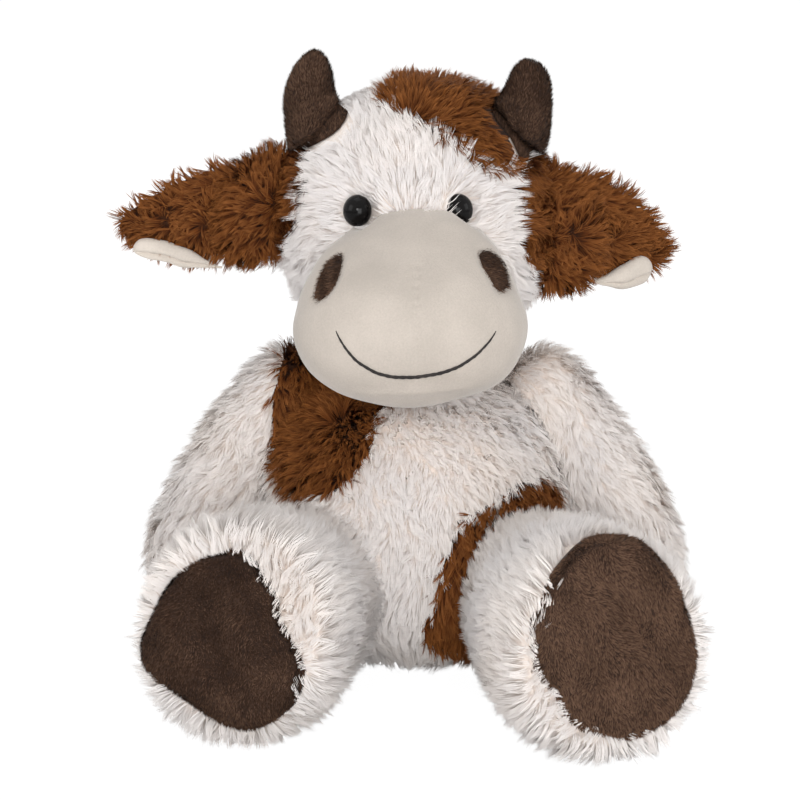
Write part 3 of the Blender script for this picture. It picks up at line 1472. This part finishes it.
# Pixels of the photograph round the nostrils
NOSTRIL_PIXELS = {
    "right": (
        (345, 252.5), (340.7, 251.6), (331.8, 256), (322.9, 266.8), (317.5, 279.3), (312, 297),
        (315.7, 302.9), (326.4, 298.9), (337, 284.6), (342.5, 270.4),
    ),
    "left": (
        (476.4, 251.6), (481.8, 248), (490.7, 248.9), (501.4, 257.9), (506.8, 268.6), (511.3, 286.4),
        (508.6, 291.8), (501.4, 294.5), (496, 291.8), (488.9, 279.3), (480, 265),
    ),
}
NOSTRIL_LIFT = 0.0004
NOSTRIL_LIP = 0.0016
NOSTRIL_SINK = 0.0012
NOSTRIL_EDGE_SHARES = (0.80, 1.25)
# The left nostril pales towards its inner lower corner, and the right one is striped
NOSTRIL_TONES = {"left": (0.12, 0.50), "right": (0.40, 0.30)}
NOSTRIL_WANDER = 0.12
PALE_CORNER_SHARES = (-0.30, 0.20)
STRIPES = 14.0


def smile_stitch():
    """The smile: a dark stitched thread that lies in the cloth, thin at its ends."""
    places, _, _ = evenly_along(picture_points(SMILE_PIXELS), SMILE_STEPS)
    rounded(places, SMILE_SMOOTH)
    tree = trees["muzzle cover"]
    line, _ = seen_on(tree, places)
    points = []
    for index, place in enumerate(line):
        share = index / (SMILE_STEPS - 1)
        way_on = Vector(line[min(index + 1, SMILE_STEPS - 1)] - line[max(index - 1, 0)]).normalized()
        spot, normal, _, _ = tree.find_nearest(Vector(place))
        across = normal.cross(way_on).normalized()
        taper = max(math.sin(math.pi * share) ** TAPER_POWER, TAPER_LEAST)
        stitch = 1.0 - STITCH_PINCH * (0.5 + 0.5 * math.cos(2.0 * math.pi * share * STITCHES))
        radius = SMILE_RADIUS * taper * stitch
        for corner in range(SMILE_SIDES):
            angle = 2.0 * math.pi * corner / SMILE_SIDES
            offset = across * math.cos(angle) * radius + normal * (math.sin(angle) * radius * SMILE_FLAT)
            points.append(spot + normal * radius * SMILE_PROUD + offset)
    faces = [*bands(0, SMILE_STEPS, SMILE_SIDES), lid(0, SMILE_SIDES),
             lid(len(points) - SMILE_SIDES, SMILE_SIDES)]
    piece = new_object("smile_stitch", mesh_of("smile_stitch", points, faces))
    dressed(piece, "black thread", "head", ("smile_thread",))


# Pixels of the photograph along the smile
SMILE_PIXELS = (
    (336, 331), (338, 336), (346, 349), (356.8, 361.4), (376.4, 373), (394, 377), (415.7, 377), (440.7, 373),
    (458.6, 366.8), (476.4, 355), (490.7, 340), (496, 331),
)
SMILE_STEPS = 220
SMILE_SMOOTH = 40
SMILE_SIDES = 8
SMILE_RADIUS = 0.00105
SMILE_FLAT = 0.7
SMILE_PROUD = 0.4
TAPER_POWER = 0.35
TAPER_LEAST = 0.25
STITCHES = 26
STITCH_PINCH = 0.16


# Eyes

def eye_dome(side):
    """A glossy black safety eye: a round dome with its rim, on the axis of its shank."""
    name = f"eye_{side}_dome"
    eye = points_of(frame["nodes"][f"eye_{side}"].data)
    washer = points_of(frame["nodes"][f"eye_washer_{side}"].data)
    axis = Vector(unit(eye.mean(axis=0) - washer.mean(axis=0)))
    front = max(Vector(p).dot(axis) for p in eye)
    middle = Vector(washer.mean(axis=0))
    base = middle + axis * (front - EYE_DOME - middle.dot(axis))
    shown = picture_place(np.array([base + axis * EYE_DOME / 2.0]))
    shift = (picture_points([EYE_PIXELS[side]]) - shown)[0]
    base = base + Vector(CAMERA_SIDE * shift[0] + CAMERA_UP * shift[1])
    across = axis.cross(Vector(UP)).normalized()
    rise = across.cross(axis).normalized()
    rows = []
    for ring in range(EYE_RINGS):
        turn = (ring + 1) / EYE_RINGS * math.pi / 2.0
        rows.append((math.sin(turn) * EYE_RADIUS, math.cos(turn) * EYE_DOME))
    rows.extend((EYE_RADIUS * width, -EYE_SKIRT * depth) for width, depth in EYE_SKIRT_SHARES)
    points = [base + axis * EYE_DOME]
    for radius, height in rows:
        for corner in range(EYE_SIDES):
            angle = 2.0 * math.pi * corner / EYE_SIDES
            offset = across * math.cos(angle) * radius * EYE_NARROW + rise * math.sin(angle) * radius
            points.append(base + axis * height + offset)
    faces = [*fan(0, 1, EYE_SIDES), *bands(1, len(rows), EYE_SIDES), lid(len(points) - EYE_SIDES, EYE_SIDES)]
    mesh = mesh_of(name, points, faces)
    dressed(new_object(name, mesh), "eye black", "head", (f"eye_{side}",))
    guards["eyes"].append(guard_of(mesh))
    eye_spot[side] = np.array(base + axis * EYE_DOME / 2.0)


EYE_PIXELS = {"left": (462, 209.6), "right": (354.8, 210.6)}
EYE_RINGS = 20
EYE_SIDES = 48
EYE_RADIUS = 0.0082
EYE_DOME = 0.0068
EYE_NARROW = 0.92
# Behind the dome the eye goes in: its width and its depth in shares of radius and skirt
EYE_SKIRT = 0.004
EYE_SKIRT_SHARES = ((0.97, 0.4), (0.80, 1.0))


# Horns

def horn(side):
    """A stuffed horn of dark short pile, brushed towards its blunt tip."""
    node = f"horn_{side}"
    piece = remeshed(f"{node}_cover", (node,), FINE_VOXEL, HORN_ROUNDS)
    mesh = piece.data
    points = points_of(mesh)
    low, high = points[:, 2].min(), points[:, 2].max()
    foot = (1.0 - (points[:, 2] - low) / (high - low))[:, None]
    points = grown(points + FRONT * HORN_FOOT_AHEAD * foot, HORN_PIXELS[side], *HORN_GROWTH)
    put_points(mesh, points)

    # What the photograph shows of the horn stands clear of the head
    share = outline_share(outline_of(HORN_SEEN_PIXELS[side]), picture_place(points))
    front = normals_of(mesh) @ CAMERA_AHEAD < 0.0
    for index in np.nonzero((share < 1.0) & front)[0]:
        way = unit(points[index] - CAMERA_PLACE)
        reach = trees["head hide"].ray_cast(Vector(CAMERA_PLACE), Vector(way))[3]
        own = np.linalg.norm(points[index] - CAMERA_PLACE)
        if reach is not None and own > reach - HORN_CLEAR:
            points[index] = CAMERA_PLACE + way * (reach - HORN_CLEAR)
    put_points(mesh, points)
    smooth_points(mesh, FOOT_ROUNDS)
    guards["horns"].append(guard_of(mesh))
    dressed(piece, "dark cloth", "head", (node,))

    seed = SEEDS["horn"][side]
    spots, facing = roots_on(piece, NAP_DENSITY, seed)
    comb = UP + swirls(spots, BRUSH_WAVE, seed + 1, "horn swirl")
    outline = outline_of(HORN_PIXELS[side])
    spread = (picture_place(spots) - outline["middle"]) / outline["radius"].max()
    middle_tone = HORN_TONE[side] - HORN_FADE * (spread[:, 0] + spread[:, 1])
    tone = tones(spots, BRUSH_WAVE, seed + 2, middle_tone, HORN_WANDER)
    nap(f"{node}_nap", spots, facing, comb, "head", seed + 3, tone, HORN_NAP_LENGTH)
    horn_foot(side, mesh)


def horn_foot(side, cover):
    """The horn's flared foot, where its cloth runs out over the head."""
    name = f"horn_{side}_foot"
    tree = tree_of_mesh(head_cloth.data, cover)
    piece = seated_pad(name, outline_of(HORN_FOOT_PIXELS[side]), tree, FOOT_LIFT, FOOT_LIP)
    smooth_points(piece.data, FOOT_ROUNDS)
    guards["horn feet"].append(guard_of(piece.data))
    seed = SEEDS["horn foot"][side]
    spots, facing = roots_on(piece, NAP_DENSITY, seed)
    comb = UP + swirls(spots, BRUSH_WAVE, seed + 1, "horn swirl")
    tone = tones(spots, BRUSH_WAVE, seed + 2, HORN_TONE[side], HORN_WANDER)
    nap(f"{name}_nap", spots, to_camera(facing), comb, "head", seed + 3, tone)


HORN_TONE = {"left": 0.24, "right": 0.44}
HORN_FADE = 0.16
HORN_WANDER = 0.14
HORN_GROWTH = (0.80, 2.00)
HORN_FOOT_AHEAD = 0.006
HORN_CLEAR = 0.0035
FOOT_LIFT = 0.0034
FOOT_LIP = 0.0030
FOOT_ROUNDS = 3
# Pixels of the photograph round what shows of the horns, round the whole horns and round their feet
HORN_SEEN_PIXELS = {
    "right": (
        (285, 96), (290, 77), (299, 64), (310, 53), (324, 52), (331, 66), (332, 84), (338, 103), (349, 112),
        (342, 128), (329, 139), (303, 151), (294, 145), (288, 123),
    ),
    "left": (
        (491, 109), (503, 92), (511, 76), (518, 63), (530, 61), (541, 65), (549, 76), (551, 99), (549, 120),
        (541, 141), (532, 157), (522, 166), (516.5, 155), (507, 136), (495.5, 122),
    ),
}
HORN_PIXELS = {
    "right": (
        (285, 96), (290, 77), (299, 64), (310, 53), (324, 52), (331, 66), (332, 84), (338, 101), (352, 114),
        (352, 140), (340, 158), (318, 164), (300, 160), (290, 145), (286, 123),
    ),
    "left": (
        (491, 109), (503, 92), (511, 76), (518, 63), (530, 61), (541, 65), (549, 76), (551, 99), (550, 120),
        (546, 145), (536, 165), (520, 174), (504, 168), (493, 150), (489, 128),
    ),
}
HORN_FOOT_PIXELS = {
    "right": (
        (288, 122), (297, 108), (316, 99), (334, 97), (341, 106), (350, 111), (343, 127), (329, 139),
        (303, 151), (294, 145), (289, 132),
    ),
    "left": (
        (491, 109), (500, 98), (520, 98), (540, 108), (548, 124), (541, 141), (532, 157), (522, 166),
        (516.5, 155), (507, 136), (495.5, 122),
    ),
}


# Ears

def ear(side):
    """An ear: brown pile on its back, which faces forward, and the cream lining under its lower edge."""
    body = f"ear_{side}"
    back = sunk(remeshed(f"{body}_hide", (f"{body}_back",), EAR_VOXEL, EAR_ROUNDS), EAR_DEPTH)
    dressed(back, "brown hide", body, (f"{body}_back",))
    lining = remeshed(f"{body}_lining_cover", (f"{body}_lining",), LINING_VOXEL, LINING_ROUNDS)
    dressed(lining, "lining velboa", body, (f"{body}_lining",))

    whole = points_of(frame["nodes"][f"{body}_back"].data)
    middle = whole.mean(axis=0)
    length_way, rise_way, facing_way = own_axes(whole, OUTWARD[side], UP, FRONT)
    reach = np.abs((whole - middle) @ length_way).max()
    width = np.abs((whole - middle) @ rise_way).max()
    roll = lining_roll(side, middle, facing_way)
    seed = SEEDS["ear"][side]
    spots, facing = roots_on(back, BROWN_DENSITY, seed)
    keep = facing @ facing_way > EAR_REAR
    spots, facing = spots[keep], facing[keep]
    along = ((spots - middle) @ length_way)[:, None] / reach
    rise = ((spots - middle) @ rise_way)[:, None] / width
    inward = 1.0 - step(*EAR_ROOT_SHARES, along)
    comb = length_way * (COMB["ear out"] - COMB["ear in"] * inward)
    comb = comb + rise_way * (rise * COMB["ear spread"] + COMB["ear rise"])
    comb = comb + swirls(spots, EAR_SWIRL, seed + 1, "ear swirl")
    low_edge = 1.0 - step(*EAR_EDGE_SHARES, rise[:, 0])
    pile(f"{body}_pile", EAR_TUFTS, spots, facing, comb, body, seed + 2,
         length=EAR_PILE * (1.0 + EAR_EDGE_MORE * low_edge), keep_out=[roll])
    ear_base(side)


EAR_REAR = -0.85
EAR_ROOT_SHARES = (-0.80, -0.50)
EAR_EDGE_SHARES = (-0.85, -0.45)
EAR_EDGE_MORE = 0.30


def ear_base(side):
    """The gathered foot of the ear, a soft pillow of brown pile that fills the corner beside the head."""
    name = f"ear_{side}_base"
    outline = outline_of(EAR_BASE_PIXELS[side])
    root = ear_root[side]
    (middle,) = seen_on_plane(outline["middle"][None, :], root, CAMERA_AHEAD)
    points = [middle - CAMERA_AHEAD * BASE_THICK, middle + CAMERA_AHEAD * BASE_THICK]
    for turn in np.linspace(0.0, math.pi, BASE_RINGS + 2)[1:-1]:
        flat = seen_on_plane(outline["middle"] + outline["ways"] * math.sin(turn), root, CAMERA_AHEAD)
        points.extend(flat - CAMERA_AHEAD * BASE_THICK * math.cos(turn))
    last = len(points) - PAD_SPOKES
    faces = []
    for index in range(PAD_SPOKES):
        after = (index + 1) % PAD_SPOKES
        faces.append((0, 2 + index, 2 + after))
        faces.append((1, last + after, last + index))
        for inner in range(2, last, PAD_SPOKES):
            outer = inner + PAD_SPOKES
            faces.append((inner + index, outer + index, outer + after, inner + after))
    piece = new_object(f"{name}_hide", mesh_of(f"{name}_hide", points, faces))
    dressed(piece, "brown hide", f"ear_{side}")
    seed = SEEDS["ear base"][side]
    spots, facing = roots_on(piece, BROWN_DENSITY, seed)
    spread = picture_place(spots) - outline["middle"]
    comb = (spread[:, :1] * CAMERA_SIDE + spread[:, 1:] * CAMERA_UP) / outline["radius"].max()
    comb = comb + OUTWARD[side] * COMB["base out"] + swirls(spots, EAR_SWIRL, seed + 1, "base swirl")
    pile(f"{name}_pile", EAR_TUFTS, spots, facing, comb, f"ear_{side}", seed + 2,
         keep_out=guards["horns"])


BASE_RINGS = 16
BASE_THICK = 0.011
# Pixels of the photograph round the ears' gathered feet
EAR_BASE_PIXELS = {
    "left": (
        (529, 180), (540, 171), (556, 178), (580, 195), (592, 240), (582, 274), (556, 279), (538, 279),
        (530, 262), (532, 245), (531, 231), (527, 206),
    ),
    "right": (
        (292, 163), (280, 158), (255, 169), (232, 184), (228, 230), (240, 250), (262, 252), (276, 250),
        (283, 238), (290, 218), (292, 185),
    ),
}


def lining_roll(side, middle, facing_way):
    """The cream lining where it rolls forward round the ear's lower edge, a soft flattened bolster."""
    name = f"ear_{side}_lining_roll"
    rows = np.array(ROLL_PIXELS[side])
    places = seen_on_plane(picture_points(rows[:, :2]), middle + facing_way * ROLL_AHEAD, facing_way)
    path, way, knots = evenly_along(places, ROLL_STEPS)
    radii = np.interp(way, knots, rows[:, 2] * PIXEL)
    rounded(path, ROLL_SMOOTH)
    rounded(radii, ROLL_SMOOTH)
    points = []
    for index in range(1, ROLL_STEPS - 1):
        on = Vector(unit(path[index + 1] - path[index - 1]))
        out = Vector(facing_way)
        out = (out - on * out.dot(on)).normalized()
        up = out.cross(on).normalized()
        for corner in range(ROLL_SIDES):
            angle = 2.0 * math.pi * corner / ROLL_SIDES
            crease = math.exp(-((angle - CREASE_ANGLE) / CREASE_SOFT) ** 2)
            size = radii[index] * (1.0 - CREASE_SHARE * crease)
            offset = up * math.cos(angle) * size + out * math.sin(angle) * min(size * ROLL_FLAT, ROLL_THICK)
            points.append(Vector(path[index]) + offset)
    count = len(points)
    points.extend([path[0], path[-1]])
    faces = [*bands(0, ROLL_STEPS - 2, ROLL_SIDES), *fan(count, 0, ROLL_SIDES),
             *fan(count + 1, count - ROLL_SIDES, ROLL_SIDES)]
    mesh = mesh_of(name, points, faces)
    points = points_of(mesh)
    soft = waves(points, ROLL_WAVE, SEEDS["roll"]) * ROLL_DENT
    put_points(mesh, points + normals_of(mesh) * soft)
    dressed(new_object(name, mesh), "lining velboa", f"ear_{side}")
    return guard_of(mesh)


# Pixels of the photograph along the middle of the roll, and half its height there in pixels
ROLL_PIXELS = {
    "left": (
        (590, 282, 1.0), (604, 281, 5.0), (618, 279, 9.5), (632, 273, 14.5), (642, 270, 14.0),
        (649, 269, 8.0), (652, 269, 2.0),
    ),
    "right": (
        (133, 250, 2.0), (137, 250, 8.0), (148, 248, 11.5), (168, 252, 11.0), (188, 259, 9.0),
        (208, 264, 5.5), (224, 268, 1.0),
    ),
}
CREASE_ANGLE = 2.1
CREASE_SOFT = 0.22
CREASE_SHARE = 0.60
ROLL_FLAT = 0.75
ROLL_AHEAD = 0.0085
ROLL_THICK = 0.0050
ROLL_STEPS = 48
ROLL_SIDES = 40
ROLL_SMOOTH = 8
ROLL_WAVE = 0.018
ROLL_DENT = 0.0007


# Tail

def tail():
    """The tail: a thin white cord of pile with a brown tuft."""
    for name, node, cloth, slot, kind, depth, density, length in (
        ("tail", "tail_skin", "white hide", "white_pile", WHITE, TAIL_DEPTH, TAIL_DENSITY, TAIL_PILE),
        ("tuft", "tail_tuft", "brown hide", "brown_pile", BROWN, EAR_DEPTH, TUFT_DENSITY, EAR_PILE),
    ):
        piece = sunk(remeshed(f"{name}_hide", (node,), EAR_VOXEL, EAR_ROUNDS), depth)
        dressed(piece, cloth, "tail", (node,))
        seed = SEEDS[name]
        spots, facing = roots_on(piece, density, seed)
        comb = DOWN + swirls(spots, TAIL_SWIRL, seed + 1, f"{name} swirl")
        pile(f"{name}_pile", kind, spots, facing, comb, "tail", seed + 2, length=length)


# Carried solids that stay: the washers and the neck's thread

def finish_carried():
    """Gives the solids that stay their own material."""
    for name in ("eye_washer_left", "eye_washer_right", "neck_thread"):
        node = frame["nodes"][name]
        node.data.materials.clear()
        node.data.materials.append(materials["nylon"])


# Building

trees = {}
guards = {"eyes": [], "horns": [], "horn feet": []}
eye_spot = {}
pads = {side: pad_frame(side) for side in SIDES}
places_of_joints = {joint["child"]: np.array(joint["pos_m"]) for joint in frame["joints"]}
ear_root = {side: places_of_joints[f"ear_{side}"] for side in SIDES}

muzzle = muzzle_form()
guards["muzzle"] = guard_of(muzzle.data)
trees["muzzle cover"] = guards["muzzle"][0]
smile_stitch()
head_cloth = hide("head_hide", ("head_skin", "head_stuffing", "forehead_patch"), "head",
                  ("torso_skin", "muzzle_skin"))
trees["head hide"] = tree_of_mesh(head_cloth.data)
for side in SIDES:
    nostril_pad(side)
    eye_dome(side)
    horn(side)
torso_pile()
head_pile(head_cloth)
tail()
for side in SIDES:
    ear(side)
    arm_pile(side)
    leg_pile(side)
    sole_pad(side)
finish_carried()


# Stage, light and camera

def empty_tree(owner, kind):
    """The owner's node tree with only an output of the given kind, and that output's first socket."""
    owner.use_nodes = True
    owner.node_tree.nodes.clear()
    return owner.node_tree, add_node(owner.node_tree, kind).inputs[0]


def blend_shaders(tree, share, first, second, target):
    """Sends the two shaders, mixed by the share, to the target."""
    mix = add_node(tree, "ShaderNodeMixShader")
    for source, socket in zip((share, first, second), mix.inputs):
        tree.links.new(source, socket)
    tree.links.new(mix.outputs[0], target)


def stage_material():
    """A white floor that the camera sees as white, with a faint share of real light for its shadow."""
    material = bpy.data.materials.new("white sweep")
    tree, target = empty_tree(material, "ShaderNodeOutputMaterial")
    matt = add_node(tree, "ShaderNodeBsdfDiffuse", {"Color": FLOOR_COLOUR})
    glow = add_node(tree, "ShaderNodeEmission", {"Color": WHITE_LIGHT, "Strength": FLOOR_WHITE})
    path = add_node(tree, "ShaderNodeLightPath")
    seen = add_node(tree, "ShaderNodeMath", operation="MULTIPLY")
    tree.links.new(path.outputs["Is Camera Ray"], seen.inputs[0])
    seen.inputs[1].default_value = FLOOR_GLOW
    blend_shaders(tree, seen.outputs[0], matt.outputs[0], glow.outputs[0], target)
    return material


def make_stage():
    """The floor."""
    corners = ((-1, -1), (1, -1), (1, 1), (-1, 1))
    mesh = bpy.data.meshes.new("floor")
    mesh.from_pydata([(x * FLOOR_HALF, y * FLOOR_HALF, 0.0) for x, y in corners], [], [range(len(corners))])
    mesh.materials.append(stage_material())
    new_object("floor", mesh)


def make_world():
    """White to the camera and to reflections, and a plain soft light on the object."""
    world = bpy.data.worlds.new("studio")
    bpy.context.scene.world = world
    tree, target = empty_tree(world, "ShaderNodeOutputWorld")
    soft = add_node(tree, "ShaderNodeBackground", {"Color": WHITE_LIGHT, "Strength": WORLD_LIGHT})
    plain = add_node(tree, "ShaderNodeBackground", {"Color": WHITE_LIGHT, "Strength": 1.0})
    path = add_node(tree, "ShaderNodeLightPath")
    share = path.outputs["Is Camera Ray"]
    for kind in ("Is Glossy Ray", "Is Transmission Ray"):
        either = add_node(tree, "ShaderNodeMath", operation="MAXIMUM")
        tree.links.new(share, either.inputs[0])
        tree.links.new(path.outputs[kind], either.inputs[1])
        share = either.outputs[0]
    blend_shaders(tree, share, soft.outputs[0], plain.outputs[0], target)


def aimed(name, data, place, way):
    """A new object at the place that looks the given way."""
    piece = new_object(name, data)
    piece.location = place
    piece.rotation_mode = "QUATERNION"
    piece.rotation_quaternion = Vector(way).to_track_quat("-Z", "Y")
    return piece


def make_light():
    """Soft frontal light, a little from the left, with weaker light from above and behind."""
    for name, place, size, power in LAMPS:
        data = bpy.data.lights.new(name, "AREA")
        data.shape = "SQUARE"
        data.size = size
        data.energy = power
        aimed(name, data, place, Vector(LAMP_TARGET) - Vector(place))


def make_camera():
    """The photograph's viewpoint."""
    data = bpy.data.cameras.new("camera")
    data.sensor_width = SENSOR
    data.lens = SENSOR * CAMERA_DISTANCE / (PICTURE * PIXEL)
    bpy.context.scene.camera = aimed("camera", data, CAMERA_PLACE, CAMERA_AHEAD)


SENSOR = 36.0
FLOOR_HALF = 12.0
FLOOR_COLOUR = (0.9, 0.9, 0.9, 1.0)
FLOOR_GLOW = 0.91
FLOOR_WHITE = 1.08
WHITE_LIGHT = (1.0, 1.0, 1.0, 1.0)
WORLD_LIGHT = 0.50
# The square lamps: their names, their places and widths in metres, and their power in watts
LAMPS = (
    ("front", (-0.35, -2.0, 0.80), 0.45, 7.5),
    ("low front", (0.2, -1.6, 0.40), 0.8, 11.0),
    ("left", (-1.7, -0.9, 0.9), 1.0, 6.0),
    ("right", (1.8, -0.6, 0.9), 1.0, 6.0),
    ("above", (-0.2, -0.1, 2.2), 1.2, 4.5),
    ("behind", (0.3, 2.0, 0.9), 1.0, 15.0),
)
LAMP_TARGET = (0.0, 0.0, 0.15)

make_stage()
make_world()
make_light()
make_camera()
bpy.context.scene.view_settings.view_transform = "Standard"
